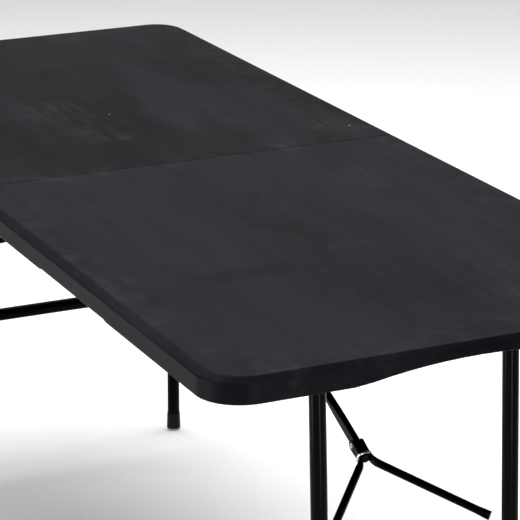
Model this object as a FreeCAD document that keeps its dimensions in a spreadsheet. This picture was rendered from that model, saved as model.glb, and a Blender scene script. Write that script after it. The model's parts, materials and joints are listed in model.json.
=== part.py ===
import FreeCAD, Part
import math
import os
import re
import Sketcher

# Fold-in-half table: two moulded top halves on side rails, joined by two hinges, each half with a
# wishbone leg frame that folds on a pivot tube and is held open by a toggle brace with a lock ring.
# Frame: X along the table, Y across it, Z up, origin on the floor under the centre of the top.
# The near half (+X) is modelled; the far half is its mirror image, apart from the hinge knuckles.

doc = FreeCAD.newDocument("FoldingTable")
Vector = FreeCAD.Vector
Placement = FreeCAD.Placement
Rotation = FreeCAD.Rotation
ALONG_X, ALONG_Y, ALONG_Z = Vector(1, 0, 0), Vector(0, 1, 0), Vector(0, 0, 1)

DIMENSIONS = [
    ("HalfLength", 900, "outer end of the top from the table's centre"),
    ("HalfWidth", 350, "long edge of the top from the table's centre line"),
    ("TopHeight", 740, "working surface above the floor"),
    ("EdgeDepth", 34, "depth of the moulded edge"),
    ("BevelDrop", 7, "height of the sloping border of the top"),
    ("BevelSide", 12.7, "width of the sloping border on the long sides"),
    ("BevelEnd", 7.1, "width of the sloping border on the short end"),
    ("CornerRadius", 59, "outer corner radius in plan"),
    ("CrestRadius", 50, "corner radius where the sloping border meets the flat top"),
    ("SeamGap", 0.75, "seam face from the table's centre"),
    ("SeamWall", 12, "thickness of the wall along the seam"),
    ("EdgeWall", 14, "thickness of the skirt"),
    ("PanelThickness", 18, "thickness of the panel inside the skirt"),
    ("ArchRise", 15.3, "rise of the arch in the end skirt"),
    ("ArchRadius", 840, "radius of that arch"),
    ("ReliefStart", 308, "start of the shallow relief under the long skirts"),
    ("ReliefEnd", 548, "end of that relief"),
    ("ReliefDepth", 1.8, "depth of that relief"),
    ("GrooveDepth", 12.5, "depth of the brace recess above the panel's underside"),
    ("GrooveHalf", 14, "half width of the strut's groove"),
    ("BayHalf", 75, "half width of the bay that takes the folded brace"),
    ("BayStart", 500, "start of that bay"),
    ("BayEnd", 650, "end of that bay"),
    ("TubeRadius", 11, "outer radius of the leg tube"),
    ("TubeWall", 1.2, "wall of the leg tube"),
    ("PivotX", 727, "leg pivot from the table's centre"),
    ("PivotHeight", 708.5, "leg pivot above the floor"),
    ("PivotHalf", 289, "half length of the pivot tube"),
    ("NeckHalf", 138, "half spread of the two legs at the pivot tube"),
    ("FootHalf", 272, "half spread of the two feet"),
    ("LegLength", 708.84, "leg from the pivot to the floor"),
    ("LegLean", 1.7786, "outward lean of the leg frame in degrees"),
    ("BendTop", 310.8, "start of the leg's S-bend below the pivot"),
    ("BendDrop", 115.9, "height of the S-bend"),
    ("BendRadius", 55, "radius of both arcs of the S-bend"),
    ("CrossbarDrop", 431.5, "crossbar below the pivot"),
    ("CopeGap", 0.4, "gap around a tube in the coped crossbar ends and the rest clips"),
    ("CapLength", 29, "length of the foot cap"),
    ("CapWall", 0.8, "wall of the foot cap at its upper rim"),
    ("CapFloor", 3, "thickness of the foot cap under the tube's end"),
    ("CapRadius", 12.6, "outer radius of the foot cap at its base"),
    ("PadDepth", 3.84, "foot pad's thickness under the cap"),
    ("PadRadius", 11.6, "radius of the foot pad"),
    ("BoltRadius", 4, "radius of the pivot bolts"),
    ("BoltHeadRadius", 7, "radius of the pivot bolts' heads"),
    ("BoltHeadHeight", 5, "height of the pivot bolts' heads"),
    ("BoltReach", 23, "pivot bolt past the rail's inner face"),
    ("BushLength", 24, "length of the bushes in the pivot tube"),
    ("RunGap", 0.05, "radial running clearance on every pin"),
    ("RailCentre", 300, "side rail from the centre line"),
    ("RailWidth", 16, "width of the side rail tube"),
    ("RailDepth", 22, "depth of the side rail tube"),
    ("RailWall", 1.5, "wall of the side rail tube"),
    ("RailStart", 14, "inner end of the side rail"),
    ("RailEnd", 760, "outer end of the side rail"),
    ("ScrewRadius", 2, "radius of the screw shanks"),
    ("HeadRadius", 4, "radius of the screw heads"),
    ("HeadHeight", 2, "height of the screw heads"),
    ("ScrewTip", 734, "height of the tips of the long screws"),
    ("FoldHeight", 695, "centre hinge axis above the floor"),
    ("HingeHalf", 15, "half width of a hinge leaf"),
    ("HingeReach", 60, "hinge leaf from the centre"),
    ("KnuckleRadius", 4.5, "outer radius of the hinge knuckles"),
    ("PinRadius", 2.5, "radius of the hinge, bracket and brace pins"),
    ("KnuckleStep", 7.5, "boundary between knuckles from the leaf's centre line"),
    ("KnuckleGap", 0.1, "play on each side of that boundary"),
    ("LeafThickness", 2, "thickness of the hinge leaves"),
    ("LeafStart", 5.2, "edge of the plain leaf from the hinge axis"),
    ("TongueDrop", 0.6, "step of the leaf's tongue down to its knuckle"),
    ("TongueReach", 5.7, "length of the tongue from the hinge axis"),
    ("PinProud", 1, "hinge pin past the knuckles"),
    ("DrillReach", 20, "how far a drill runs past the piece's middle"),
    ("Overcut", 1, "how far a cutting block runs past the face it opens"),
    ("StrutPivotX", 26, "strut pivot from the table's centre"),
    ("StrutPivotHeight", 724, "strut pivot above the floor"),
    ("StrutLength", 588.8, "strut from its pivot to the brace joint"),
    ("StrutTail", 28, "strut past the brace joint, inside the lock ring"),
    ("StrutAngle", 23.94, "slope of the open strut in degrees"),
    ("StrutWidth", 12, "width of the strut"),
    ("StrutHeight", 8, "height of the strut"),
    ("PlateGap", 0.3, "side play between strut and brace plates"),
    ("PlateThickness", 2.5, "thickness of the flattened arm ends"),
    ("PlateLength", 42, "length of the flattened arm ends"),
    ("PlateHalf", 6, "half height of the flattened arm ends"),
    ("ArmStart", 36, "round part of the arm, from the brace joint"),
    ("ArmPlay", 0.1, "round part of the arm clear of the plate's inner face"),
    ("ArmEndGap", 0.4, "brace arm's end from the leg"),
    ("RivetHeadRadius", 4.5, "radius of the rivet's heads"),
    ("RivetHeadHeight", 0.5, "height of the rivet's heads"),
    ("ArmRadius", 5.5, "radius of a brace arm"),
    ("ArmReach", 188.45, "brace joint to the leg, along the brace"),
    ("RingOffset", 24, "lock ring past the brace joint"),
    ("RingLength", 4, "length of the lock ring along the strut"),
    ("RingWidth", 23, "outer width of the lock ring"),
    ("RingDepth", 20, "outer depth of the lock ring"),
    ("RingWall", 2.1, "wall of the lock ring"),
    ("RingRound", 3, "outer rounding of the lock ring"),
    ("RingRoundInside", 1, "inner rounding of the lock ring"),
    ("ClipStart", 112, "leg rest clips from the table's centre"),
    ("ClipLength", 16, "length of the rest clips"),
    ("ClipWall", 3, "wall of the rest clips"),
    ("ClipDrop", 4.5, "rest clips below the folded leg's axis"),
    ("BracketStart", 16, "strut bracket from the table's centre"),
    ("BracketLength", 50, "length of the bracket's plate"),
    ("BracketHalf", 8.8, "half width of the strut bracket"),
    ("CheekLength", 26, "length of the bracket's cheeks"),
    ("CheekDepth", 16, "height of the strut bracket"),
    ("BracketWall", 2.2, "wall of the bracket's cheeks"),
    ("BracketPlate", 2, "thickness of the bracket's plate"),
    ("BracketPinHalf", 11, "half length of the bracket pin"),
    ("HandleX", 430, "carry handle from the table's centre"),
    ("HandleY", 326, "carry handle from the centre line"),
    ("HandleHeight", 699, "carry handle pivot above the floor"),
    ("HandleHalf", 50, "half width of the carry handle"),
    ("HandleDrop", 45, "depth of the carry handle"),
    ("HandlePin", 10, "length of the handle's straight pin ends"),
    ("HandleTopBend", 8, "bend beside the pin ends"),
    ("HandleLowBend", 10, "bend beside the grip"),
    ("HandleRadius", 4, "radius of the carry handle's bar"),
    ("GripRadius", 8, "radius of the grip sleeve"),
    ("GripHalf", 36, "half length of the grip sleeve"),
    ("EarGap", 9, "handle bracket from the handle's side"),
    ("EarThickness", 6, "thickness of the handle bracket's upright"),
    ("EarHalf", 8, "half width of the handle bracket"),
    ("EarDrop", 7, "handle bracket below the handle's pivot"),
    ("EarFoot", 24, "length of the handle bracket's foot"),
    ("EarPlate", 3, "thickness of the handle bracket's foot"),
]

sheet = doc.addObject("Spreadsheet::Sheet", "Sizes")
for row, (alias, value, note) in enumerate(DIMENSIONS, start=1):
    sheet.set(f"A{row}", note)
    sheet.set(f"B{row}", str(value))
    sheet.setAlias(f"B{row}", alias)
doc.recompute()
size = {alias: float(sheet.get(alias)) for alias, value, note in DIMENSIONS}

SKIRT_BOTTOM = "(TopHeight - EdgeDepth)"
UNDERSIDE = "(TopHeight - PanelThickness)"
RAIL_BOTTOM = "(TopHeight - PanelThickness - RailDepth)"
RAIL_SCREWS = (90, 260, 430, 600, 745)  # screws from the table's centre, in rows along the table
HINGE_SCREWS = (22, 46)
BRACKET_SCREWS = (46, 60)
pieces = []


def formula(text):
    """Write every dimension's name in text as a cell of the sheet."""
    return re.sub(r"\b([A-Z][a-z]\w*)\b", r"Sizes.\1", str(text))


def number(text):
    """The value of a formula, worked out in a spare cell of the sheet."""
    sheet.set("D1", "=" + str(text))
    sheet.recompute()
    return float(sheet.get("D1"))


def bind(thing, bindings):
    for prop, text in bindings.items():
        thing.setExpression(prop, formula(text))
    return thing


def named(thing, label, placement=None):
    """Give a finished sub-part its label and place, and list it for export."""
    thing.Label = label
    if placement:
        thing.Placement = placement
    pieces.append(thing)
    return thing


def box(x, y, z, length, width, height):
    block = doc.addObject("Part::Box", "Block")
    return bind(block, {"Placement.Base.x": x, "Placement.Base.y": y, "Placement.Base.z": z,
                        "Length": length, "Width": width, "Height": height})


def rod(x, y, z, radius, length, axis=ALONG_Y):
    """A round bar that starts at a point and runs along an axis."""
    bar = doc.addObject("Part::Cylinder", "Bar")
    bar.Placement = Placement(Vector(), Rotation(ALONG_Z, axis))
    return bind(bar, {"Placement.Base.x": x, "Placement.Base.y": y, "Placement.Base.z": z,
                      "Radius": radius, "Height": length})


def fuse(*parts):
    joined = doc.addObject("Part::MultiFuse", "Joined")
    joined.Shapes = list(parts)
    return joined


def cut(base, *tools):
    rest = doc.addObject("Part::Cut", "Rest")
    rest.Base = base
    rest.Tool = tools[0] if len(tools) == 1 else fuse(*tools)
    return rest


def group(*parts):
    """Separate equal solids that share one node."""
    together = doc.addObject("Part::Compound", "Group")
    together.Links = list(parts)
    return together


def mirror(source, normal):
    image = doc.addObject("Part::Mirroring", "Image")
    image.Source = source
    image.Base = Vector()
    image.Normal = normal
    return image


def tube(x, y, z, radius, bore, length, axis=ALONG_Y):
    return cut(rod(x, y, z, radius, length, axis), rod(x, y, z, bore, length, axis))


def plane(body, role):
    return next(part for part in body.Origin.OriginFeatures if part.Role == role)


def new_sketch(body, role, name, offset="0"):
    sketch = body.newObject("Sketcher::SketchObject", name)
    sketch.AttachmentSupport = (plane(body, role), [""])
    sketch.MapMode = "FlatFace"
    bind(sketch, {"AttachmentOffset.Base.z": offset})
    return sketch


def constrain(sketch, limits):
    """Add driving constraints whose values come from the sheet."""
    for name, limit, text in limits:
        index = sketch.addConstraint(limit)
        sketch.renameConstraint(index, name)
        sketch.setExpression("Constraints." + name, formula(text))


def line(x1, y1, x2, y2):
    return Part.LineSegment(Vector(x1, y1, 0), Vector(x2, y2, 0))


def arc(x, y, radius, first, last):
    circle = Part.Circle(Vector(x, y, 0), ALONG_Z, radius)
    return Part.ArcOfCircle(circle, math.radians(first), math.radians(last))


def rounded_plate(body, name, height, start, end, half, radius):
    """Outline of half a table top: square at the seam and round at the two outer corners."""
    x1, x2, y2, r = (number(text) for text in (start, end, half, radius))
    sketch = new_sketch(body, "XY_Plane", name, height)
    sketch.addGeometry([line(x1, -y2, x2 - r, -y2), arc(x2 - r, r - y2, r, -90, 0),
                        line(x2, r - y2, x2, y2 - r), arc(x2 - r, y2 - r, r, 0, 90),
                        line(x2 - r, y2, x1, y2), line(x1, y2, x1, -y2)], False)
    for first, second in ((0, 1), (1, 2), (2, 3), (3, 4)):
        sketch.addConstraint(Sketcher.Constraint("Tangent", first, 2, second, 1))
    for first, second in ((4, 5), (5, 0)):
        sketch.addConstraint(Sketcher.Constraint("Coincident", first, 2, second, 1))
    for kind, edge in (("Horizontal", 0), ("Horizontal", 4), ("Vertical", 2)):
        sketch.addConstraint(Sketcher.Constraint(kind, edge))
    sketch.addConstraint(Sketcher.Constraint("Equal", 1, 3))
    sketch.addConstraint(Sketcher.Constraint("Symmetric", 5, 1, 5, 2, -1))
    constrain(sketch, [
        ("Corner", Sketcher.Constraint("Radius", 1, r), radius),
        ("Start", Sketcher.Constraint("DistanceX", -1, 1, 5, 1, x1), start),
        ("End", Sketcher.Constraint("DistanceX", -1, 1, 2, 1, x2), end),
        ("Across", Sketcher.Constraint("DistanceY", 5, 2, 5, 1, 2 * y2), f"2 * ({half})")])
    return sketch


def top_half():
    """A moulded half top: skirt, sloping border, panel, seam wall and the recesses below."""
    body = doc.addObject("PartDesign::Body", "TopHalf")
    bevel_base = "(TopHeight - BevelDrop)"
    outline = rounded_plate(body, "Outline", SKIRT_BOTTOM, "SeamGap", "HalfLength", "HalfWidth",
                            "CornerRadius")
    slab = body.newObject("PartDesign::Pad", "Slab")
    slab.Profile = outline
    bind(slab, {"Length": f"{bevel_base} - {SKIRT_BOTTOM}"})
    foot = rounded_plate(body, "BevelFoot", bevel_base, "SeamGap", "HalfLength", "HalfWidth",
                         "CornerRadius")
    crest = rounded_plate(body, "BevelCrest", "TopHeight", "SeamGap", "HalfLength - BevelEnd",
                          "HalfWidth - BevelSide", "CrestRadius")
    border = body.newObject("PartDesign::AdditiveLoft", "Border")
    border.Profile = foot
    border.Sections = [crest]
    border.Ruled = True
    doc.recompute()
    full = body.Shape.Volume
    inside = rounded_plate(body, "Inside", SKIRT_BOTTOM, "SeamGap + SeamWall",
                           "HalfLength - EdgeWall", "HalfWidth - EdgeWall",
                           "CornerRadius - EdgeWall")
    recess = body.newObject("PartDesign::Pocket", "Recess")
    recess.Profile = inside
    recess.Reversed = True
    bind(recess, {"Length": "EdgeDepth - PanelThickness"})
    doc.recompute()
    if not body.Shape.Volume < 0.8 * full:
        raise ValueError("the recess under the top cut nothing")
    groove = box("SeamGap + SeamWall", "-GrooveHalf", UNDERSIDE + " - Overcut",
                 "BayStart - SeamGap - SeamWall + Overcut", "2 * GrooveHalf", "GrooveDepth + Overcut")
    bay = box("BayStart", "-BayHalf", UNDERSIDE + " - Overcut", "BayEnd - BayStart", "2 * BayHalf",
              "GrooveDepth + Overcut")
    arch = rod("HalfLength - EdgeWall - Overcut", 0, f"{SKIRT_BOTTOM} + ArchRise - ArchRadius",
               "ArchRadius", "EdgeWall + 2 * Overcut", ALONG_X)
    relief = box("ReliefStart", "-HalfWidth - Overcut", SKIRT_BOTTOM + " - Overcut",
                 "ReliefEnd - ReliefStart", "2 * (HalfWidth + Overcut)", "ReliefDepth + Overcut")
    return cut(body, groove, bay, arch, relief)


def leg_tube():
    """One leg, bent out of a tube in the plane x = 0 with the pivot axis at z = 0."""
    body = doc.addObject("PartDesign::Body", "Leg")
    path = new_sketch(body, "YZ_Plane", "Path")
    neck, foot, r = size["NeckHalf"], size["FootHalf"], size["BendRadius"]
    top, drop = size["BendTop"], size["BendDrop"]
    bend = 80  # starting value for the sweep of both arcs, which the constraints then settle
    tube_end = "LegLength - PadDepth - CapFloor"
    side = r * (1 - math.cos(math.radians(bend)))
    down = r * math.sin(math.radians(bend))
    path.addGeometry([line(neck, 0, neck, -top), arc(neck + r, -top, r, 180, 180 + bend),
                      line(neck + side, -top - down, foot - side, down - top - drop),
                      arc(foot - r, -top - drop, r, 0, bend),
                      line(foot, -top - drop, foot, -size["LegLength"])], False)
    for first, first_end, second, second_end in ((0, 2, 1, 1), (1, 2, 2, 1), (2, 2, 3, 2), (3, 1, 4, 1)):
        path.addConstraint(Sketcher.Constraint("Tangent", first, first_end, second, second_end))
    path.addConstraint(Sketcher.Constraint("Vertical", 0))
    path.addConstraint(Sketcher.Constraint("Vertical", 4))
    path.addConstraint(Sketcher.Constraint("Equal", 1, 3))
    path.addConstraint(Sketcher.Constraint("PointOnObject", 0, 1, -1))
    constrain(path, [
        ("Bend", Sketcher.Constraint("Radius", 1, r), "BendRadius"),
        ("Neck", Sketcher.Constraint("DistanceX", -1, 1, 0, 1, neck), "NeckHalf"),
        ("Foot", Sketcher.Constraint("DistanceX", -1, 1, 4, 2, foot), "FootHalf"),
        ("Top", Sketcher.Constraint("DistanceY", 0, 2, -1, 1, top), "BendTop"),
        ("Base", Sketcher.Constraint("DistanceY", 3, 1, -1, 1, top + drop), "BendTop + BendDrop"),
        ("Length", Sketcher.Constraint("DistanceY", 4, 2, -1, 1, number(tube_end)),
         tube_end)])
    section = new_sketch(body, "XY_Plane", "Section")
    for circle, radius in enumerate(("TubeRadius", "TubeRadius - TubeWall")):
        section.addGeometry(Part.Circle(Vector(0, neck, 0), ALONG_Z, number(radius)), False)
        section.addConstraint(Sketcher.Constraint("PointOnObject", circle, 3, -2))
        constrain(section, [
            (f"Round{circle}", Sketcher.Constraint("Radius", circle, number(radius)), radius),
            (f"Place{circle}", Sketcher.Constraint("DistanceY", -1, 1, circle, 3, neck), "NeckHalf")])
    pipe = body.newObject("PartDesign::AdditivePipe", "Pipe")
    pipe.Profile = section
    pipe.Spine = (path, [])
    doc.recompute()
    return cut(body, rod(0, "NeckHalf - DrillReach", 0, "TubeRadius", "2 * DrillReach"))


def leg_frame(place):
    """The wishbone: pivot tube, two legs, crossbar and the feet, all turned by the lean."""
    bore = "TubeRadius - TubeWall"
    named(tube(0, "-PivotHalf", 0, "TubeRadius", bore, "2 * PivotHalf"), "near_pivot_tube", place)
    named(leg_tube(), "near_leg_right", place)
    bar = tube(0, "-FootHalf", "-CrossbarDrop", "TubeRadius", bore, "2 * FootHalf")
    copes = [rod(0, y, "-CrossbarDrop - DrillReach", "TubeRadius + CopeGap", "2 * DrillReach", ALONG_Z)
             for y in ("-FootHalf", "FootHalf")]
    named(cut(bar, *copes), "near_crossbar", place)
    base = "-LegLength + PadDepth"
    cap = doc.addObject("Part::Cone", "Cap")
    bind(cap, {"Placement.Base.y": "FootHalf", "Placement.Base.z": base, "Radius1": "CapRadius",
               "Radius2": "TubeRadius + CapWall", "Height": "CapLength"})
    socket = rod(0, "FootHalf", base + " + CapFloor", "TubeRadius", "CapLength", ALONG_Z)
    named(cut(cap, socket), "near_foot_cap_right", place)
    pad_end = "(LegLength + 2 * Overcut)"
    pad = rod(0, "FootHalf", 0, "PadRadius", "PadDepth + 2 * Overcut", ALONG_Z)
    pad.Placement = place.multiply(pad.Placement)
    bind(pad, {"Placement.Base.x": f"PivotX + {pad_end} * sin(LegLean * 1deg)",
               "Placement.Base.y": "FootHalf",
               "Placement.Base.z": f"PivotHeight - {pad_end} * cos(LegLean * 1deg)"})
    floor = box("PivotX", "FootHalf - DrillReach", "-DrillReach", "4 * DrillReach", "2 * DrillReach",
                "DrillReach")
    named(cut(pad, floor), "near_foot_pad_right")
    for piece in ("near_leg_right", "near_foot_cap_right", "near_foot_pad_right"):
        mirror_left(piece)
    bushes = [tube(0, y, 0, bore, "BoltRadius + RunGap", "BushLength")
              for y in ("PivotHalf - BushLength", "-PivotHalf")]
    named(group(*bushes), "near_pivot_bushes", place)


def mirror_left(label):
    source = next(piece for piece in pieces if piece.Label == label)
    named(mirror(source, ALONG_Y), label.replace("_right", "_left"))


def brace(place):
    """Toggle brace in its open, straight position; x runs from the strut's pivot to the leg."""
    half = "StrutHeight / 2"
    bar = box(0, "-StrutWidth / 2", f"-{half}", "StrutLength + StrutTail", "StrutWidth", "StrutHeight")
    nib = rod(0, "-StrutWidth / 2", 0, half, "StrutWidth")
    eyes = [rod(x, "-StrutWidth", 0, "PinRadius + RunGap", "2 * StrutWidth") for x in (0, "StrutLength")]
    named(cut(fuse(bar, nib), *eyes), "near_strut", place)

    inner = "(StrutWidth / 2 + PlateGap)"
    plate = box("StrutLength", inner, "-PlateHalf", "PlateLength", "PlateThickness", "2 * PlateHalf")
    eye = rod("StrutLength", inner, 0, "PlateHalf", "PlateThickness")
    start_x, start_y = "(StrutLength + ArmStart)", f"({inner} + ArmRadius + ArmPlay)"
    nose = doc.addObject("Part::Sphere", "Nose")
    bind(nose, {"Placement.Base.x": start_x, "Placement.Base.y": start_y, "Radius": "ArmRadius"})
    run, spread = "(ArmReach - ArmStart)", f"(NeckHalf - {start_y})"
    arm = rod(start_x, start_y, 0, "ArmRadius", f"sqrt({run}^2 + {spread}^2)",
              Vector(number(run), number(spread), 0))
    beyond = box("StrutLength", "NeckHalf - TubeRadius - ArmEndGap", "-DrillReach", "2 * ArmReach",
                 "2 * DrillReach", "2 * DrillReach")
    trimmed = cut(arm, beyond)
    hole = rod("StrutLength", 0, 0, "PinRadius", "DrillReach")
    named(cut(fuse(plate, eye, nose, trimmed), hole), "near_brace_arm_right", place)
    mirror_left("near_brace_arm_right")

    grip = f"({inner} + PlateThickness)"
    shank = rod("StrutLength", "-" + grip, 0, "PinRadius", "2 * " + grip)
    heads = [rod("StrutLength", y, 0, "RivetHeadRadius", "RivetHeadHeight")
             for y in (grip, f"-{grip} - RivetHeadHeight")]
    named(fuse(shank, *heads), "near_brace_rivet", place)

    blank = box("StrutLength + RingOffset - RingLength / 2", "-RingWidth / 2", "-RingDepth / 2",
                "RingLength", "RingWidth", "RingDepth")
    window = box("StrutLength + RingOffset - RingLength", "-RingWidth / 2 + RingWall",
                 "-RingDepth / 2 + RingWall", "2 * RingLength", "RingWidth - 2 * RingWall",
                 "RingDepth - 2 * RingWall")
    named(cut(rounded_along_x(blank, size["RingRound"]), rounded_along_x(window, size["RingRoundInside"])),
          "near_lock_ring", place)


def rounded_along_x(block, radius):
    """Round the four edges of a block that run along its length."""
    doc.recompute()
    rounded = doc.addObject("Part::Fillet", "Rounded")
    rounded.Base = block
    rounded.Edges = [(index, radius, radius) for index, edge in enumerate(block.Shape.Edges, start=1)
                     if abs(edge.tangentAt(edge.FirstParameter).x) > 0.9]
    return rounded


def screws(points, tip="ScrewTip"):
    """Pan-head screws that are driven upwards; each point is the seat under the head."""
    solids = []
    for x, y, seat in points:
        head = rod(x, y, f"{seat} - HeadHeight", "HeadRadius", "HeadHeight", ALONG_Z)
        shank = rod(x, y, f"{seat} - HeadHeight", "ScrewRadius", f"{tip} - {seat} + HeadHeight", ALONG_Z)
        solids.append(fuse(head, shank))
    return group(*solids)


def hinge_leaf(y, own, towards, bore):
    """A hinge leaf at y whose knuckles fill the given spans; towards is +1 or -1 along X."""
    start = "LeafStart" if towards > 0 else "-HingeReach"
    leaf = box(start, f"{y} - HingeHalf", f"{RAIL_BOTTOM} - LeafThickness", "HingeReach - LeafStart",
               "2 * HingeHalf", "LeafThickness")
    parts = [leaf]
    for first, last in own:
        width = f"({last}) - ({first})"
        parts.append(rod(0, f"{y} + {first}", "FoldHeight", "KnuckleRadius", width))
        tongue = "0" if towards > 0 else "-TongueReach"
        parts.append(box(tongue, f"{y} + {first}", f"{RAIL_BOTTOM} - LeafThickness - TongueDrop",
                         "TongueReach", width, "LeafThickness"))
    return cut(fuse(*parts), rod(0, f"{y} - DrillReach", "FoldHeight", bore, "2 * DrillReach"))


def carry_handle():
    """Bail of bent rod with its two pin ends; x = 0 is its middle and z = 0 its pivot."""
    half, drop, pin = size["HandleHalf"], size["HandleDrop"], size["HandlePin"]
    r, foot = size["HandleTopBend"], size["HandleLowBend"]
    corners = [Vector(-half - r - pin, 0, 0), Vector(-half - r, 0, 0), Vector(-half, 0, -r),
               Vector(-half, 0, foot - drop), Vector(foot - half, 0, -drop), Vector(0, 0, -drop)]
    slope = math.sqrt(0.5)
    first_bend = Part.Arc(corners[1], Vector(-half - r + r * slope, 0, r * slope - r), corners[2])
    second_bend = Part.Arc(corners[3], Vector(foot - half - foot * slope, 0, foot - drop - foot * slope),
                           corners[4])
    left = [Part.LineSegment(corners[0], corners[1]).toShape(), first_bend.toShape(),
            Part.LineSegment(corners[2], corners[3]).toShape(), second_bend.toShape(),
            Part.LineSegment(corners[4], corners[5]).toShape()]
    right = [edge.mirror(Vector(), ALONG_X) for edge in left]
    path = Part.Wire(Part.__sortEdges__(left + right))
    circle = Part.Wire(Part.makeCircle(size["HandleRadius"], corners[0], ALONG_X))
    bail = doc.addObject("Part::Feature", "Bail")
    bail.Shape = path.makePipeShell([circle], True, True)
    return bail


def handle_parts():
    named(carry_handle(), "carry_handle", Placement(
        Vector(size["HandleX"], size["HandleY"], size["HandleHeight"]), Rotation()))
    named(tube("HandleX - GripHalf", "HandleY", "HandleHeight - HandleDrop", "GripRadius",
               "HandleRadius", "2 * GripHalf", ALONG_X), "handle_grip")
    upright, foot_end = "(HandleHalf + EarGap)", "(HandleHalf + EarGap + EarThickness + EarFoot)"
    hole = f"({foot_end} - EarFoot / 2)"
    fasteners = screws([(f"HandleX {sign} {hole}", "HandleY", f"{UNDERSIDE} - EarPlate") for sign in "-+"])
    brackets = []
    for web_start, foot_start in ((f"HandleX - {upright} - EarThickness", f"HandleX - {foot_end}"),
                                  (f"HandleX + {upright}", f"HandleX + {upright} + EarThickness")):
        web = box(web_start, "HandleY - EarHalf", "HandleHeight - EarDrop", "EarThickness", "2 * EarHalf",
                  f"{UNDERSIDE} - HandleHeight + EarDrop")
        foot = box(foot_start, "HandleY - EarHalf", f"{UNDERSIDE} - EarPlate", "EarFoot", "2 * EarHalf",
                   "EarPlate")
        eye = rod(web_start + " - Overcut", "HandleY", "HandleHeight", "HandleRadius + RunGap",
                  "EarThickness + 2 * Overcut", ALONG_X)
        brackets.append(cut(fuse(web, foot), eye, fasteners))
    named(group(*brackets), "handle_brackets")
    return named(fasteners, "handle_screws")


def half_parts():
    """Everything that is fixed to the near half top."""
    rail_screws = screws([(x, y, RAIL_BOTTOM) for x in RAIL_SCREWS for y in ("-RailCentre", "RailCentre")])
    hinge_screws = screws([(x, y, RAIL_BOTTOM + " - LeafThickness") for x in HINGE_SCREWS
                           for y in ("-RailCentre", "RailCentre")])
    ceiling = f"({UNDERSIDE} + GrooveDepth)"
    bracket_screws = screws([(x, 0, ceiling + " - BracketPlate") for x in BRACKET_SCREWS],
                            tip=f"({ceiling} + 2 * ScrewRadius)")
    handle_screws = handle_parts()
    named(cut(top_half(), rail_screws, hinge_screws, bracket_screws, handle_screws), "near_top")
    named(rail_screws, "near_rail_screws")
    named(hinge_screws, "near_hinge_screws")
    named(bracket_screws, "near_bracket_screws")

    bolts = []
    outer_face = "(-RailCentre - RailWidth / 2 - BoltHeadHeight)"
    for y, seat in (("RailCentre - RailWidth / 2 - BoltReach", "RailCentre + RailWidth / 2"),
                    (outer_face, outer_face)):
        shank = rod("PivotX", y, "PivotHeight", "BoltRadius", "RailWidth + BoltReach + BoltHeadHeight")
        bolts.append(fuse(shank, rod("PivotX", seat, "PivotHeight", "BoltHeadRadius", "BoltHeadHeight")))
    pivot_bolts = group(*bolts)
    length = "RailEnd - RailStart"
    outer = box("RailStart", "RailCentre - RailWidth / 2", RAIL_BOTTOM, length, "RailWidth", "RailDepth")
    inner = box("RailStart", "RailCentre - RailWidth / 2 + RailWall", f"{RAIL_BOTTOM} + RailWall", length,
                "RailWidth - 2 * RailWall", "RailDepth - 2 * RailWall")
    named(cut(cut(outer, inner), rail_screws, hinge_screws, pivot_bolts), "near_rail_right")
    mirror_left("near_rail_right")
    named(pivot_bolts, "near_pivot_bolts")

    clips = []
    for y in ("-FootHalf", "FootHalf"):
        base = "(PivotHeight - ClipDrop)"
        cradle = box("ClipStart", f"{y} - TubeRadius - ClipWall", base, "ClipLength",
                     "2 * (TubeRadius + ClipWall)", f"{UNDERSIDE} - {base}")
        inside = "(TubeRadius + CopeGap)"
        hollow = rod("ClipStart - Overcut", y, "PivotHeight", inside, "ClipLength + 2 * Overcut", ALONG_X)
        mouth = box("ClipStart - Overcut", f"{y} - {inside}", "PivotHeight - DrillReach",
                    "ClipLength + 2 * Overcut", f"2 * {inside}", "DrillReach")
        clips.append(cut(cradle, hollow, mouth))
    named(group(*clips), "near_rest_clips")

    plate = box("BracketStart", "-BracketHalf", ceiling + " - BracketPlate", "BracketLength",
                "2 * BracketHalf", "BracketPlate")
    cheeks = [box("BracketStart", y, ceiling + " - CheekDepth", "CheekLength", "BracketWall",
                  "CheekDepth - Overcut") for y in ("BracketHalf - BracketWall", "-BracketHalf")]
    pin_hole = rod("StrutPivotX", "-DrillReach", "StrutPivotHeight", "PinRadius", "2 * DrillReach")
    named(cut(fuse(plate, *cheeks), pin_hole, bracket_screws), "near_strut_bracket")
    named(rod("StrutPivotX", "-BracketPinHalf", "StrutPivotHeight", "PinRadius", "2 * BracketPinHalf"),
          "near_bracket_pin")


half_parts()
leg_frame(Placement(Vector(size["PivotX"], 0, size["PivotHeight"]), Rotation(ALONG_Y, -size["LegLean"])))
brace(Placement(Vector(size["StrutPivotX"], 0, size["StrutPivotHeight"]),
                Rotation(ALONG_Y, size["StrutAngle"])))
for near_piece in [piece for piece in pieces if piece.Label.startswith("near_")]:
    named(mirror(near_piece, ALONG_X), near_piece.Label.replace("near_", "far_"))

outer_knuckles = [("-HingeHalf", "-KnuckleStep - KnuckleGap"), ("KnuckleStep + KnuckleGap", "HingeHalf")]
middle_knuckle = [("-KnuckleStep + KnuckleGap", "KnuckleStep - KnuckleGap")]
for side, knuckles, towards, bore in (("near", outer_knuckles, 1, "PinRadius + RunGap"),
                                      ("far", middle_knuckle, -1, "PinRadius")):
    leaf_screws = next(piece for piece in pieces if piece.Label == side + "_hinge_screws")
    leaves = [cut(hinge_leaf(y, knuckles, towards, bore), leaf_screws)
              for y in ("-RailCentre", "RailCentre")]
    named(group(*leaves), side + "_hinge_leaves")
for y, word in (("-RailCentre", "left"), ("RailCentre", "right")):
    named(rod(0, f"{y} - HingeHalf - PinProud", "FoldHeight", "PinRadius", "2 * (HingeHalf + PinProud)"),
          "hinge_pin_" + word)

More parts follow.
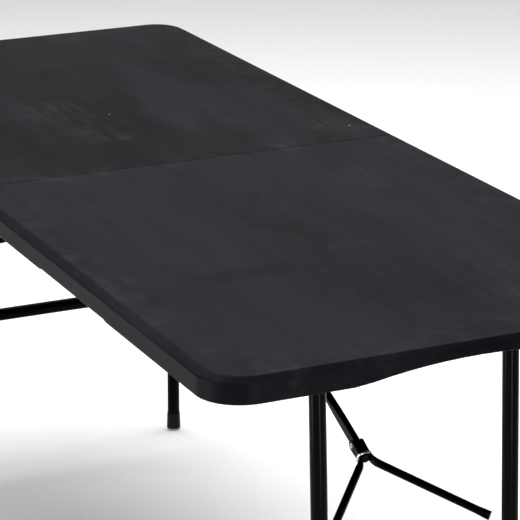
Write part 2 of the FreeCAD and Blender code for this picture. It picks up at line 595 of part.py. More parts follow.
doc.recompute()
for thing in doc.Objects:
    if any(word in thing.State for word in ("Invalid", "Error")):
        raise ValueError(f"{thing.Name} ({thing.Label}) failed: {thing.State} {thing.getStatusString()}")
os.makedirs("parts", exist_ok=True)
for piece in pieces:
    shape = piece.Shape
    if shape.isNull() or not shape.isValid() or not shape.Solids:
        raise ValueError(f"{piece.Label} has no valid solid")
    shape.exportStep(f"parts/{piece.Label}.step")
    print(f"{piece.Label}: {len(shape.Solids)} solid(s), {shape.Volume / 1000:.1f} cm3")
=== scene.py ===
import json
import math

import bmesh
import bpy
from mathutils import Matrix, Vector
from mathutils.geometry import delaunay_2d_cdt


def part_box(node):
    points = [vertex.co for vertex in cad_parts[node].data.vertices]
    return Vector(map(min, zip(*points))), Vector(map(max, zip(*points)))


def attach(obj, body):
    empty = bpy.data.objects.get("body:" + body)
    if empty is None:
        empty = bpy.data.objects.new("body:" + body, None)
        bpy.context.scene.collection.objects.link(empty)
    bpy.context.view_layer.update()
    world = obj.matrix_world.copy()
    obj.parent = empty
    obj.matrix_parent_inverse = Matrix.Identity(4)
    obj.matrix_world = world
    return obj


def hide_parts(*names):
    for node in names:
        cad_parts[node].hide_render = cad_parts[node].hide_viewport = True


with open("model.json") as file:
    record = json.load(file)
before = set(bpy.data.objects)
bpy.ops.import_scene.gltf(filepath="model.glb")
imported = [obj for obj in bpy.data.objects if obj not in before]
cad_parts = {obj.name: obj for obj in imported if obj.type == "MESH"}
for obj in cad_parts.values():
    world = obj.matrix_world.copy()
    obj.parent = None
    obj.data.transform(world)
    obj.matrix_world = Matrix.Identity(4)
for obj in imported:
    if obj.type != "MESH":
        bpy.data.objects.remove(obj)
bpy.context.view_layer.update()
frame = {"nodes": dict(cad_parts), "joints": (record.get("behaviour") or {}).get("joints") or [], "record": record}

MM = 0.001
SIDES = {"near": 1, "far": -1}

# ---------------------------------------------------------------- measures of the top
HALF_LENGTH, HALF_WIDTH, TOP_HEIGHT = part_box("near_top")[1]
CORNER_RADIUS = 59 * MM
BEVEL_SIDE, BEVEL_END = 12.7 * MM, 7.1 * MM
EDGE_WALL = 14 * MM
UNDERSIDE = TOP_HEIGHT - 18 * MM
CEILING = UNDERSIDE + 12.5 * MM  # of the groove and the bay that take up the folded brace
GROOVE_START, GROOVE_HALF = 14.4 * MM, 14 * MM
BAY_START, BAY_END, BAY_HALF = 0.500, 0.650, 75 * MM
ARCH_RISE, ARCH_RADIUS = 15.3 * MM, 0.84
RELIEF_START, RELIEF_END, RELIEF_DEPTH, RELIEF_RAMP = 0.308, 0.548, 1.8 * MM, 10 * MM


# ---------------------------------------------------------------- material helpers
def new_material(name):
    material = bpy.data.materials.new(name)
    material.use_nodes = True
    tree = material.node_tree
    return material, tree, tree.nodes["Principled BSDF"]


def node(tree, kind, values=None, **settings):
    made = tree.nodes.new("ShaderNode" + kind)
    for key, value in settings.items():
        setattr(made, key, value)
    for key, value in (values or {}).items():
        made.inputs[key].default_value = value
    return made


def object_space(tree, scale=(1, 1, 1)):
    """Coordinates in metres, stretched by scale."""
    place = node(tree, "TexCoord")
    mapping = node(tree, "Mapping", {"Scale": scale})
    tree.links.new(place.outputs["Object"], mapping.inputs["Vector"])
    return mapping.outputs["Vector"]


def noise(tree, space, scale, detail=4.0, roughness=0.55, distortion=0.0):
    made = node(tree, "TexNoise", {"Scale": scale, "Detail": detail, "Roughness": roughness,
                                   "Distortion": distortion})
    tree.links.new(space, made.inputs["Vector"])
    return made.outputs["Fac"]


def ramp(tree, source, low, high, first, last):
    """Map source from low..high to first..last, clamped."""
    made = node(tree, "MapRange", {"From Min": low, "From Max": high, "To Min": first, "To Max": last})
    tree.links.new(source, made.inputs["Value"])
    return made.outputs["Result"]


def combine(tree, operation, first, second=0):
    """One Math node, whose inputs are numbers or sockets."""
    made = node(tree, "Math", operation=operation)
    for socket, value in zip(made.inputs, (first, second)):
        if isinstance(value, (int, float)):
            socket.default_value = value
        else:
            tree.links.new(value, socket)
    return made.outputs["Value"]


def blend_colours(tree, factor, first, second):
    """Mix two colours, which are tuples or sockets."""
    made = node(tree, "Mix", data_type="RGBA")
    tree.links.new(factor, made.inputs["Factor"])
    for socket, value in zip(made.inputs[6:8], (first, second)):
        if isinstance(value, tuple):
            socket.default_value = (*value, 1)
        else:
            tree.links.new(value, socket)
    return made.outputs[2]


def add_bump(tree, shader, height, strength, distance):
    made = node(tree, "Bump", {"Strength": strength, "Distance": distance})
    tree.links.new(height, made.inputs["Height"])
    tree.links.new(made.outputs["Normal"], shader.inputs["Normal"])


# ---------------------------------------------------------------- materials
# the top's colours
BASE_DARK, BASE_LIGHT = (0.0034, 0.0034, 0.0058), (0.0112, 0.0111, 0.0145)
STAIN, HAZE = (0.0003, 0.0003, 0.0012), (0.0240, 0.0240, 0.0270)
SCUFF, SPECK = (0.046, 0.046, 0.050), (0.36, 0.36, 0.37)


def contour_lines(tree, space, scale, width, distortion=0.0):
    """Thin curved lines where a noise crosses its middle value: hairline scratches."""
    field = noise(tree, space, scale, 1.5, 0.4, distortion)
    away = combine(tree, "ABSOLUTE", combine(tree, "SUBTRACT", field, 0.5))
    return ramp(tree, away, 0, width, 1, 0)


def moulded_plastic():
    """Charcoal blow-moulded top: pebbled grain, long flow marks, stains, haze, scuffs and pale specks."""
    material, tree, shader = new_material("moulded_charcoal")
    space = object_space(tree)
    along = object_space(tree, (0.10, 1, 1))
    place = node(tree, "SeparateXYZ")
    tree.links.new(space, place.inputs["Vector"])
    far_half = ramp(tree, place.outputs["X"], -0.004, 0.004, 1, 0)

    clouds = noise(tree, space, 2.6, 3, 0.5, 0.8)
    flow = noise(tree, along, 13, 2, 0.5)
    fine_flow = noise(tree, along, 62, 2, 0.5)
    tone = combine(tree, "ADD", combine(tree, "MULTIPLY", clouds, 0.50),
                   combine(tree, "ADD", combine(tree, "MULTIPLY", flow, 0.32),
                           combine(tree, "MULTIPLY", fine_flow, 0.18)))
    base = blend_colours(tree, ramp(tree, tone, 0.36, 0.64, 0, 1), BASE_DARK, BASE_LIGHT)

    # dark streaks on the far half, and blotches all over
    drips = ramp(tree, noise(tree, object_space(tree, (0.22, 1, 1)), 8.5, 3, 0.5, 0.4), 0.40, 0.52, 0, 1)
    stains = combine(tree, "MULTIPLY", combine(tree, "MULTIPLY", drips, far_half), 0.85)
    stained = blend_colours(tree, stains, base, STAIN)
    blotches = ramp(tree, noise(tree, space, 3.4, 4, 0.55, 1.2), 0.58, 0.66, 0, 0.40)
    blotched = blend_colours(tree, blotches, stained, STAIN)

    # pale haze, and a paler mottling of the upper face towards the rim and the seam
    haze = combine(tree, "MULTIPLY", ramp(tree, noise(tree, space, 4.2, 5, 0.65, 0.4), 0.55, 0.70, 0, 1),
                   ramp(tree, noise(tree, along, 90, 4, 0.7), 0.42, 0.62, 0, 0.75))
    on_top = ramp(tree, place.outputs["Z"], TOP_HEIGHT - 2 * MM, TOP_HEIGHT - 0.5 * MM, 0, 1)
    aside = combine(tree, "ABSOLUTE", place.outputs["Y"])
    away = combine(tree, "ABSOLUTE", place.outputs["X"])
    border = combine(tree, "MAXIMUM", ramp(tree, aside, 0.25, HALF_WIDTH, 0, 1),
                     combine(tree, "MAXIMUM", ramp(tree, away, 0.80, HALF_LENGTH, 0, 1),
                             ramp(tree, away, 0, 0.07, 1, 0)))
    rim_paling = combine(tree, "MULTIPLY", combine(tree, "MULTIPLY", border, on_top),
                      ramp(tree, noise(tree, space, 16, 6, 0.7, 0.6), 0.48, 0.66, 0, 0.5))
    hazed = blend_colours(tree, haze, blotched, HAZE)
    rim_paled = blend_colours(tree, rim_paling, hazed, HAZE)

    # scratches and rubbed patches, on the upper face only
    sparse = ramp(tree, noise(tree, space, 5.5, 2), 0.58, 0.66, 0, 1)
    long_lines = contour_lines(tree, along, 7, 0.0012, 0.1)
    short_lines = combine(tree, "MULTIPLY", contour_lines(tree, space, 11, 0.0022, 0.4), sparse)
    scratches = combine(tree, "ADD", combine(tree, "MULTIPLY", long_lines, 0.12),
                        combine(tree, "MULTIPLY", short_lines, 0.16))
    rubs = combine(tree, "MULTIPLY", ramp(tree, noise(tree, along, 150, 5, 0.75, 0.6), 0.60, 0.72, 0, 0.5),
                   ramp(tree, noise(tree, space, 8.5, 3), 0.59, 0.68, 0, 1))
    wear = combine(tree, "MULTIPLY", combine(tree, "ADD", scratches, rubs), on_top)
    worn = blend_colours(tree, wear, rim_paled, SCUFF)

    # one pale speck in the middle of a few cells
    cells = node(tree, "TexVoronoi", {"Scale": 13.0, "Randomness": 1.0})
    tree.links.new(space, cells.inputs["Vector"])
    chosen = node(tree, "SeparateColor")
    tree.links.new(cells.outputs["Color"], chosen.inputs["Color"])
    specks = combine(tree, "MULTIPLY", ramp(tree, cells.outputs["Distance"], 0.014, 0.022, 1, 0),
                     ramp(tree, chosen.outputs["Red"], 0.84, 0.86, 0, 1))
    tree.links.new(blend_colours(tree, specks, worn, SPECK), shader.inputs["Base Color"])

    rough = combine(tree, "ADD", ramp(tree, clouds, 0.3, 0.7, 0.40, 0.48),
                    combine(tree, "MULTIPLY", stains, -0.05))
    tree.links.new(combine(tree, "ADD", rough, combine(tree, "MULTIPLY", haze, 0.10)),
                   shader.inputs["Roughness"])
    shader.inputs["Specular IOR Level"].default_value = 0.028
    grain = node(tree, "TexVoronoi", {"Scale": 620, "Randomness": 1.0}, feature="SMOOTH_F1")
    tree.links.new(space, grain.inputs["Vector"])
    waves = combine(tree, "MULTIPLY", noise(tree, space, 9, 2), 5.0)
    add_bump(tree, shader, combine(tree, "ADD", grain.outputs["Distance"], waves), 0.20, 0.00030)
    return material


def plain_material(name, colours, mottle, roughness, rough_patches, grain, bump, depth=0.0002,
                   stretch=(1, 1, 1), specular=None, metallic=None):
    """Mottled colour and roughness under a fine grain; mottle and rough_patches are scale and detail."""
    material, tree, shader = new_material(name)
    space = object_space(tree)
    tree.links.new(blend_colours(tree, noise(tree, space, *mottle), *colours), shader.inputs["Base Color"])
    tree.links.new(ramp(tree, noise(tree, space, *rough_patches), 0.3, 0.7, *roughness),
                   shader.inputs["Roughness"])
    if specular is not None:
        shader.inputs["Specular IOR Level"].default_value = specular
    if metallic is not None:
        shader.inputs["Metallic"].default_value = metallic
    add_bump(tree, shader, noise(tree, object_space(tree, stretch), grain, 2), bump, depth)
    return material


MATERIALS = {
    "moulded_top": moulded_plastic(),
    # glossy black powder coat with a light orange peel
    "black_steel": plain_material(
        "powder_coat_black", ((0.0002, 0.0002, 0.0003), (0.0006, 0.0006, 0.0007)), mottle=(40, 3),
        roughness=(0.12, 0.20), rough_patches=(26, 4), grain=420, bump=0.10, depth=0.0003, specular=0.045),
    # bright zinc plate, slightly mottled, with fine drawing marks
    "zinc_steel": plain_material(
        "bright_zinc", ((0.58, 0.59, 0.60), (0.80, 0.80, 0.79)), mottle=(260, 4),
        roughness=(0.16, 0.34), rough_patches=(340, 3), grain=900, bump=0.12, stretch=(1, 6, 1),
        metallic=1.0),
    # moulded black plastic with a fine spark-eroded grain
    "black_plastic": plain_material(
        "moulded_black", ((0.0035, 0.0035, 0.0037), (0.0075, 0.0075, 0.0078)), mottle=(60, 3),
        roughness=(0.40, 0.55), rough_patches=(90, 3), grain=1600, bump=0.25, specular=0.10),
    # pale grey rubber of the foot pads
    "grey_pad": plain_material(
        "grey_pad", ((0.34, 0.34, 0.33), (0.52, 0.52, 0.51)), mottle=(180, 4),
        roughness=(0.55, 0.75), rough_patches=(220, 3), grain=1400, bump=0.2)}
for entry in frame["record"]["subparts"]:
    cad_mesh = frame["nodes"][entry["node"]].data
    cad_mesh.materials.clear()
    cad_mesh.materials.append(MATERIALS[entry["material_slot"]])


# ---------------------------------------------------------------- mesh helpers
SHARP_ANGLE = math.radians(50)


def piece_from(builder, name, slot, body, *replaced):
    """Make a smooth object from a bmesh, give it a slot's material and let it ride on a body."""
    mesh = bpy.data.meshes.new(name)
    bmesh.ops.recalc_face_normals(builder, faces=builder.faces)
    for edge in builder.edges:
        edge.smooth = edge.calc_face_angle(math.pi) < SHARP_ANGLE
    for face in builder.faces:
        face.smooth = True
    builder.to_mesh(mesh)
    builder.free()
    piece = bpy.data.objects.new(name, mesh)
    bpy.context.scene.collection.objects.link(piece)
    mesh.materials.append(MATERIALS[slot])
    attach(piece, body)
    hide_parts(*replaced)
    weighted = piece.modifiers.new("even_normals", "WEIGHTED_NORMAL")
    weighted.keep_sharp = True
    weighted.weight = 50


def new_loop(builder, points):
    return [builder.verts.new(point) for point in points]


def bridge(builder, loops):
    """Join neighbouring loops of equally many points with quads."""
    for lower, upper in zip(loops, loops[1:]):
        for index, corner in enumerate(lower):
            after = (index + 1) % len(lower)
            builder.faces.new((corner, lower[after], upper[after], upper[index]))


def add_tube(builder, rings):
    """Join rings of equally many points, and cap both ends."""
    loops = [new_loop(builder, ring) for ring in rings]
    bridge(builder, loops)
    builder.faces.new(loops[0][::-1])
    builder.faces.new(loops[-1])


# ---------------------------------------------------------------- the moulded half tops
CORNER_STEPS, ARCH_STEPS = 20, 24
INSIDE_BORDER, NEARNESS = 1, 1e-6  # the triangulation's kind of output and its tolerance
DIMPLE_ROWS, DIMPLE_COLUMNS, DIMPLE_PITCH, DIMPLE_START = 9, 12, 64 * MM, 60 * MM
DIMPLE_RIM, DIMPLE_DEPTH, DIMPLE_POINTS = 13 * MM, 9 * MM, 16
DIMPLE_SECTION = [(0.82, 0.25), (0.60, 0.85), (0.48, 1)]  # shares of the rim and of the depth
DIMPLE_CLEARANCE = 20 * MM  # between the bay's end and the middle of a dimple
RECESS_SECTION = [(0.4 * MM, -0.3 * MM), (0.8 * MM, 0)]  # draft of the walls, height from the ceiling
ARCH_REACH = EDGE_WALL + 4 * MM  # how far in from the outer end the arch is cut
BORDER_FOOT = 730  # height in mm above which the edge is the sloping border and its roundings
EDGE_ROUND_TOP = 708.3  # height in mm above which the skirt is plain
STEP_SHARE = 0.002  # keeps the plain skirt's rings apart where the arch pushes them up
INNER_WALL = 12  # inset in mm from which a ring is on the skirt's inner wall
WALL_TOP = UNDERSIDE - 0.1 * MM
EDGE_SECTION = [  # inset from the long side, height and inset of the seam face, in mm, from the top inward
    (14.6, 740, 1.9), (13.4, 739.95, 1.2), (12.3, 739.6, 0.9), (11.3, 739.1, 0.75), (1.5, 733.7, 0.75),
    (0.7, 733.1, 0.75), (0.2, 732.3, 0.75), (0.0, 731.4, 0.75), (0.0, 729.0, 0.75), (0.0, 728.6, 0.1),
    (0.0, 714.0, 0.1), (0.0, 713.6, 0.75), (0.0, 708.2, 0.75), (0.35, 706.9, 0.9),
    (1.3, 706.1, 1.6), (2.4, 706.0, 2.4), (11.6, 706.0, 11.2), (13.0, 706.3, 12.2), (14.0, 707.6, 12.75),
    (14.0, 719.8, 12.75), (14.6, 721.2, 13.2), (16.4, 722.0, 13.9)]


def lift_of_skirt(x, y):
    """How far the skirt's lower edge rises: the arch of the end and the relief of the long sides."""
    if x > HALF_LENGTH - ARCH_REACH:
        return max(0, math.sqrt(ARCH_RADIUS ** 2 - y ** 2) - ARCH_RADIUS + ARCH_RISE)
    into = min(x - RELIEF_START, RELIEF_END - x) / RELIEF_RAMP + 0.5
    return RELIEF_DEPTH * min(1, max(0, into))


def outline(side_inset, end_inset, seam):
    """Plan outline of the near half at given insets, from the seam round the outer end and back."""
    centre_x, centre_y = HALF_LENGTH - CORNER_RADIUS, HALF_WIDTH - CORNER_RADIUS
    across, along = CORNER_RADIUS - side_inset, CORNER_RADIUS - end_inset
    stops = [seam, RELIEF_START - RELIEF_RAMP / 2, RELIEF_START + RELIEF_RAMP / 2,
             RELIEF_END - RELIEF_RAMP / 2, RELIEF_END + RELIEF_RAMP / 2]
    half = [(x, -HALF_WIDTH + side_inset) for x in stops]
    for step in range(CORNER_STEPS + 1):
        turn = math.radians(90 * step / CORNER_STEPS)
        half.append((centre_x + along * math.sin(turn), -centre_y - across * math.cos(turn)))
    for step in range(1, ARCH_STEPS):
        half.append((HALF_LENGTH - end_inset, -centre_y + 2 * centre_y * step / ARCH_STEPS))
    mirrored = [(x, -y) for x, y in half[:len(stops) + CORNER_STEPS + 1]]
    return half + mirrored[::-1]


def brace_recess(sign, draft):
    """Outline of the strut's groove and the bay at its end, drawn in by the draft of its walls."""
    half = [(GROOVE_START + draft, GROOVE_HALF - draft), (BAY_START + draft, GROOVE_HALF - draft),
            (BAY_START + draft, BAY_HALF - draft), (BAY_END - draft, BAY_HALF - draft)]
    return [(sign * x, y) for x, y in half + [(x, -y) for x, y in half[::-1]]]


def in_recess(x, y):
    """Whether a place, given by its distances from both middle lines, is in the groove or the bay."""
    return (GROOVE_START < x <= BAY_START and y < GROOVE_HALF) or (BAY_START < x < BAY_END and y < BAY_HALF)


def dimple(sign, x, y, radius):
    """A circle of points round x, y on the near or the far half."""
    return [(sign * x + radius * math.cos(2 * math.pi * step / DIMPLE_POINTS),
             y + radius * math.sin(2 * math.pi * step / DIMPLE_POINTS)) for step in range(DIMPLE_POINTS)]


def dimple_places():
    """A grid of moulded dimples between the rails, clear of the groove, the bay and the clips."""
    for row in range(DIMPLE_ROWS):
        for column in range(DIMPLE_COLUMNS):
            x = DIMPLE_START + (column + 0.5 * (row % 2)) * DIMPLE_PITCH
            y = (row - (DIMPLE_ROWS - 1) / 2) * DIMPLE_PITCH
            beside_bay = BAY_START - DIMPLE_PITCH / 2 < x < BAY_END + DIMPLE_CLEARANCE
            by_bay = beside_bay and abs(y) < BAY_HALF + 2 * DIMPLE_RIM
            if abs(y) > GROOVE_HALF + 1.5 * DIMPLE_RIM and not by_bay:
                yield x, y


def sink(builder, rim, floor_rings):
    """Close a hole in the underside with walls that rise into the panel."""
    loops = [rim] + [new_loop(builder, [(x, y, z) for x, y in ring]) for ring, z in floor_rings]
    bridge(builder, loops)
    builder.faces.new(loops[-1])


def underside(builder, sign, border):
    """Fill the panel's underside inside the border, with its recess and dimples let in."""
    holes = [(brace_recess(sign, 0), [(brace_recess(sign, draft), CEILING + down)
                                      for draft, down in RECESS_SECTION])]
    for x, y in dimple_places():
        holes.append((dimple(sign, x, y, DIMPLE_RIM), [
            (dimple(sign, x, y, share * DIMPLE_RIM), UNDERSIDE + depth * DIMPLE_DEPTH)
            for share, depth in DIMPLE_SECTION]))
    loops = [border]
    sunk = []
    for outline_points, floor_rings in holes:
        loops.append(new_loop(builder, [(x, y, UNDERSIDE) for x, y in outline_points]))
        sunk.append((loops[-1], floor_rings))
    corners = [(corner, number) for number, loop in enumerate(loops) for corner in loop]
    walls = []
    start = 0
    for loop in loops:
        walls += [(start + index, start + (index + 1) % len(loop)) for index in range(len(loop))]
        start += len(loop)
    flat, _, triangles, sources, _, _ = delaunay_2d_cdt(
        [corner.co.xy for corner, number in corners], walls, [], INSIDE_BORDER, NEARNESS, True)
    for triangle in triangles:
        chosen = [corners[sources[index][0]] for index in triangle]
        rims = {number for corner, number in chosen}
        middle = sum((flat[index] for index in triangle), Vector((0, 0))) / 3
        in_dimple = len(rims) == 1 and min(rims) > 1
        if not in_dimple and not in_recess(abs(middle.x), abs(middle.y)):
            builder.faces.new([corner for corner, number in chosen])
    for rim, floor_rings in sunk:
        sink(builder, rim, floor_rings)


def edge_height(x, y, inset, height):
    """Height of a ring's point: the arch and the relief push the skirt's rings up."""
    z = height * MM
    if height > BORDER_FOOT:
        return z
    highest = WALL_TOP if inset > INNER_WALL else TOP_HEIGHT
    if height < EDGE_ROUND_TOP:
        return min(z + lift_of_skirt(x, y), highest)
    step = (height - EDGE_ROUND_TOP) * STEP_SHARE * MM
    return max(z, min(EDGE_ROUND_TOP * MM + lift_of_skirt(x, y), highest) + step)


def half_top(side, sign):
    """One half: the edge section swept round the outline, the top's cap and the underside."""
    builder = bmesh.new()
    loops = []
    for inset, height, seam in EDGE_SECTION:
        end_inset = inset * (BEVEL_END / BEVEL_SIDE if height > BORDER_FOOT else 1)
        loops.append(new_loop(builder, [(sign * x, y, edge_height(x, y, inset, height))
                                        for x, y in outline(inset * MM, end_inset * MM, seam * MM)]))
    bridge(builder, loops)
    builder.faces.new(loops[0][::-1])
    underside(builder, sign, loops[-1])
    piece_from(builder, side + "_moulded_top", "moulded_top", side + "_half", side + "_top")


for side, sign in SIDES.items():
    half_top(side, sign)


# ---------------------------------------------------------------- the toggle braces
JOINTS = {joint["name"]: joint for joint in frame["joints"]}
SECTION_POINTS, ROUND_POWER = 32, 2
NOSE_STEPS, NOSE_TIP = 6, 0.1 * MM

# the strut's half widths, half heights and section powers: at its pivot, along the tube, at the joint
STRUT_HALF_WIDTH, STRUT_PRESSED = 6 * MM, 4.8 * MM
STRUT_LOW, STRUT_OVAL, STRUT_TALL = 4.0 * MM, 4.3 * MM, 7.3 * MM
LOW_POWER, OVAL_POWER, TALL_POWER = 6, 2.4, 6.4
LOW_PRESS, LOW_STEPS = (16 * MM, 46 * MM), 6  # from the pivot
TALL_PRESS, TALL_STEPS = (118 * MM, 36 * MM), 8  # short of the joint
TAIL, TAIL_ROUND = 28 * MM, 0.8 * MM

PLATE_MIDDLE, PLATE_HALF, PLATE_POWER = 7.55 * MM, 1.25 * MM, 5
EAR, WAIST = 7.6 * MM, 6.4 * MM  # half heights of an arm's plate at the rivet and where it bends
STRUT_PLAY = 0.4 * MM
ARM_RADIUS, NECK_HALF, ARM_REACH = 5.5 * MM, 138 * MM, 188.45 * MM
ARM_LEAN = math.atan2(NECK_HALF - 12 * MM, ARM_REACH - 40 * MM)
BEND_START, BEND_STEPS, BEND_STRIDE = 20 * MM, 12, 2.2 * MM
ARM_END = NECK_HALF - 17.5 * MM
RUN_START, SQUEEZE_START = 0.1, 0.88  # shares of the straight run: its first ring, and where it flattens
SQUEEZE_ACROSS, SQUEEZE_UP, SQUEEZE_POWER = 0.35, 0.25, 4

RING_HALF_WIDTH, RING_HALF_HEIGHT, RING_POWER = 10.45 * MM, 8.95 * MM, 2.9
WIRE_HALF_THICKNESS, WIRE_HALF_LENGTH, WIRE_POINTS = 1.0 * MM, 2.0 * MM, 12
RIVET_SECTION = [  # distance from the middle and radius, in mm: shank, head, its dome and the sunk middle
    (8.8, 2.5), (8.8, 3.6), (9.1, 3.6), (9.3, 3.096), (9.3, 2.376), (9.0, 2.016), (7.9, 1.8), (7.9, 0.18)]


def section(middle, across, upward, half_across, half_up, power=ROUND_POWER):
    """A superellipse: an ellipse at ROUND_POWER, and a rounded rectangle at higher powers."""
    ring = []
    for index in range(SECTION_POINTS):
        turn = 2 * math.pi * index / SECTION_POINTS
        c, s = math.cos(turn), math.sin(turn)
        ring.append(middle + across * (half_across * math.copysign(abs(c) ** (2 / power), c))
                    + upward * (half_up * math.copysign(abs(s) ** (2 / power), s)))
    return ring


def ease(value):
    value = min(1, max(0, value))
    return value * value * (3 - 2 * value)


def between(first, last, part):
    return first + (last - first) * part


def nose(half_up):
    """Places before a pivot, and the half heights there, that round off a flat end."""
    for step in range(NOSE_STEPS + 1):
        turn = math.radians(90 - 90 * step / NOSE_STEPS)
        yield -half_up * math.sin(turn), max(NOSE_TIP, half_up * math.cos(turn))


def joint_place(name):
    return Vector(JOINTS[name]["pos_m"])


def brace_frame(side):
    """Brace joint and the unit vectors along, across and above the open strut."""
    joint = joint_place(side + "_brace_swing")
    along = (joint - joint_place(side + "_strut_swing")).normalized()
    across = Vector((0, 1, 0))
    above = along.cross(across) if along.cross(across).z > 0 else across.cross(along)
    return joint, along, across, above


def strut(side):
    """Tube whose ends are pressed square: low at the pivot and tall at the brace joint."""
    pivot = joint_place(side + "_strut_swing")
    joint, along, across, above = brace_frame(side)
    length = (joint - pivot).length
    stations = [(at, STRUT_HALF_WIDTH, half, LOW_POWER) for at, half in nose(STRUT_LOW)]
    for step in range(LOW_STEPS + 1):
        part = ease(step / LOW_STEPS)
        stations.append((between(*LOW_PRESS, step / LOW_STEPS), STRUT_HALF_WIDTH,
                         between(STRUT_LOW, STRUT_OVAL, part), between(LOW_POWER, OVAL_POWER, part)))
    for step in range(TALL_STEPS + 1):
        part = ease(step / TALL_STEPS)
        stations.append((length - between(*TALL_PRESS, step / TALL_STEPS),
                         between(STRUT_HALF_WIDTH, STRUT_PRESSED, part),
                         between(STRUT_OVAL, STRUT_TALL, part), between(OVAL_POWER, TALL_POWER, part)))
    for at, half in ((0, STRUT_TALL), (TAIL - TAIL_ROUND, STRUT_TALL), (TAIL, STRUT_TALL - TAIL_ROUND)):
        stations.append((length + at, STRUT_PRESSED, half, TALL_POWER))
    builder = bmesh.new()
    add_tube(builder, [section(pivot + along * at, across, above, wide, half, power)
                       for at, wide, half, power in stations])
    piece_from(builder, side + "_strut_tube", "black_steel", side + "_strut", side + "_strut")


def brace_arm(side, word, hand):
    """Tube arm pressed flat beside the strut, which bends out and runs to the leg."""
    joint, along, across, above = brace_frame(side)
    across = across * hand
    stations = [(at, PLATE_MIDDLE, 0, PLATE_HALF, half, PLATE_POWER) for at, half in nose(EAR)]
    at, out, turned = BEND_START, PLATE_MIDDLE, 0.0
    for step in range(BEND_STEPS + 1):
        part = ease(step / BEND_STEPS)
        flat = between(PLATE_HALF, ARM_RADIUS, part)
        middle = max(out, STRUT_HALF_WIDTH + STRUT_PLAY + flat)
        stations.append((at, middle, turned, flat, between(WAIST, ARM_RADIUS, part),
                         between(PLATE_POWER, ROUND_POWER, part)))
        turned = ARM_LEAN * ease((step + 1) / BEND_STEPS)
        at += BEND_STRIDE * math.cos(turned)
        out = middle + BEND_STRIDE * math.sin(turned)
    run = (ARM_END - out) / math.sin(ARM_LEAN)
    for share in (RUN_START, SQUEEZE_START, (SQUEEZE_START + 1) / 2, 1):
        ahead, aside = run * share * math.cos(ARM_LEAN), run * share * math.sin(ARM_LEAN)
        squeeze = ease((share - SQUEEZE_START) / (1 - SQUEEZE_START))
        stations.append((at + ahead, out + aside, ARM_LEAN, ARM_RADIUS * (1 - SQUEEZE_ACROSS * squeeze),
                         ARM_RADIUS * (1 + SQUEEZE_UP * squeeze),
                         between(ROUND_POWER, SQUEEZE_POWER, squeeze)))
    rings = []
    for at, out, turned, half_across, half_up, power in stations:
        sideways = across * math.cos(turned) - along * math.sin(turned)
        rings.append(section(joint + along * at + across * out, sideways, above, half_across, half_up, power))
    builder = bmesh.new()
    add_tube(builder, rings)
    piece_from(builder, f"{side}_arm_{word}", "black_steel", side + "_brace", f"{side}_brace_arm_{word}")


def lock_ring(side):
    """Bright ring with an oval section, round the strut's tail and the two arms."""
    _, along, across, above = brace_frame(side)
    low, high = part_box(side + "_lock_ring")
    middle = (low + high) / 2
    builder = bmesh.new()
    loops = []
    for index in range(WIRE_POINTS):
        turn = 2 * math.pi * index / WIRE_POINTS
        out = WIRE_HALF_THICKNESS * math.cos(turn)
        forward = WIRE_HALF_LENGTH * math.sin(turn)
        loops.append(new_loop(builder, section(middle + along * forward, across, above, RING_HALF_WIDTH + out,
                                               RING_HALF_HEIGHT + out, RING_POWER)))
    bridge(builder, loops + loops[:1])
    piece_from(builder, side + "_ring_band", "zinc_steel", side + "_ring", side + "_lock_ring")


def rivet(side):
    """Shank through strut and arms with two low heads, each with a sunk middle."""
    joint, along, across, above = brace_frame(side)
    half = [(at * MM, radius * MM) for at, radius in RIVET_SECTION]
    stations = [(-at, radius) for at, radius in half[::-1]] + half
    builder = bmesh.new()
    add_tube(builder, [section(joint + across * at, along, above, radius, radius) for at, radius in stations])
    piece_from(builder, side + "_rivet_domed", "zinc_steel", side + "_brace", side + "_brace_rivet")


for side in SIDES:
    strut(side)
    lock_ring(side)
    rivet(side)
    for word, hand in (("left", -1), ("right", 1)):
        brace_arm(side, word, hand)


# ---------------------------------------------------------------- camera, floor and light
CAMERA_PLACE = (3.4887, -1.4592, 1.7855)
CAMERA_RIGHT, CAMERA_UP = Vector((0.41356, 0.91044, -0.00836)), Vector((-0.27292, 0.13272, 0.95284))
CAMERA_BACK = Vector((0.86861, -0.39178, 0.30337))
FLOOR_HALF = 14
TABLE_MIDDLE, NEAR_END = (0, 0, TOP_HEIGHT), (HALF_LENGTH, 0, TOP_HEIGHT)
BELOW_TABLE, NEAR_LEG = (0, 0, 0.5), (0.73, -0.138, 0.9)

camera_data = bpy.data.cameras.new("camera")
camera_data.sensor_width = 36
camera_data.lens = 181.39
camera = bpy.data.objects.new("camera", camera_data)
camera.matrix_world = Matrix.Translation(CAMERA_PLACE) @ Matrix(
    (CAMERA_RIGHT, CAMERA_UP, CAMERA_BACK)).transposed().to_4x4()
bpy.context.scene.collection.objects.link(camera)
bpy.context.scene.camera = camera

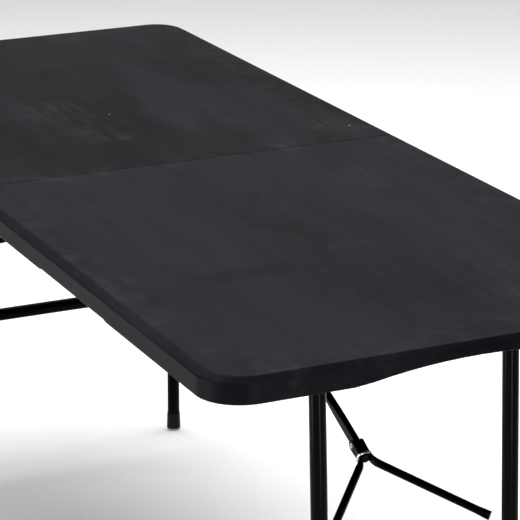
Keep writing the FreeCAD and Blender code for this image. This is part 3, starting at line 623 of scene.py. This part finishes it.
floor_mesh = bpy.data.meshes.new("floor")
floor_mesh.from_pydata([(-FLOOR_HALF, -FLOOR_HALF, 0), (FLOOR_HALF, -FLOOR_HALF, 0),
                        (FLOOR_HALF, FLOOR_HALF, 0), (-FLOOR_HALF, FLOOR_HALF, 0)], [], [(0, 1, 2, 3)])
floor = bpy.data.objects.new("floor", floor_mesh)
bpy.context.scene.collection.objects.link(floor)
floor_material, floor_tree, floor_shader = new_material("pale_floor")
floor_tree.links.new(blend_colours(floor_tree, noise(floor_tree, object_space(floor_tree), 1.5),
                                   (0.96, 0.96, 0.96), (0.98, 0.98, 0.98)),
                     floor_shader.inputs["Base Color"])
floor_shader.inputs["Roughness"].default_value = 0.9
floor_mesh.materials.append(floor_material)


def area_light(name, place, target, size, watts, glossy_only=False):
    """A rectangular light at a place that faces a target."""
    data = bpy.data.lights.new(name, "AREA")
    data.shape = "RECTANGLE"
    data.size, data.size_y = size
    data.energy = watts
    light = bpy.data.objects.new(name, data)
    light.location = place
    light.rotation_euler = (Vector(target) - Vector(place)).to_track_quat("-Z", "Y").to_euler()
    light.visible_camera = False
    light.visible_diffuse = not glossy_only
    bpy.context.scene.collection.objects.link(light)


area_light("overhead", (-1.0, 0.6, 4.2), TABLE_MIDDLE, size=(4.5, 3.5), watts=250)
area_light("front_top", (2.7, -0.5, 3.1), NEAR_END, size=(1.3, 1.3), watts=20)
area_light("front_left", (1.5, -4.0, 2.2), BELOW_TABLE, size=(2.5, 2.5), watts=58)
# upright strips seen only in reflections, such as the streaks along the legs
area_light("strip_front", (2.33, -0.03, 0.9), NEAR_LEG, size=(0.42, 1.8), watts=20, glossy_only=True)
area_light("strip_left", (0.507, -1.72, 0.9), NEAR_LEG, size=(0.42, 1.8), watts=20, glossy_only=True)

# a white world, brighter beyond the far end than beyond the near one
world = bpy.data.worlds.new("studio")
world.use_nodes = True
sky = world.node_tree.nodes["Background"]
sky.inputs["Color"].default_value = (1, 1, 1, 1)
direction = node(world.node_tree, "TexCoord")
compass = node(world.node_tree, "SeparateXYZ")
world.node_tree.links.new(direction.outputs["Generated"], compass.inputs["Vector"])
world.node_tree.links.new(ramp(world.node_tree, compass.outputs["X"], -0.3, 0.5, 0.50, 0.14),
                          sky.inputs["Strength"])
bpy.context.scene.world = world
bpy.context.scene.view_settings.view_transform = "Standard"
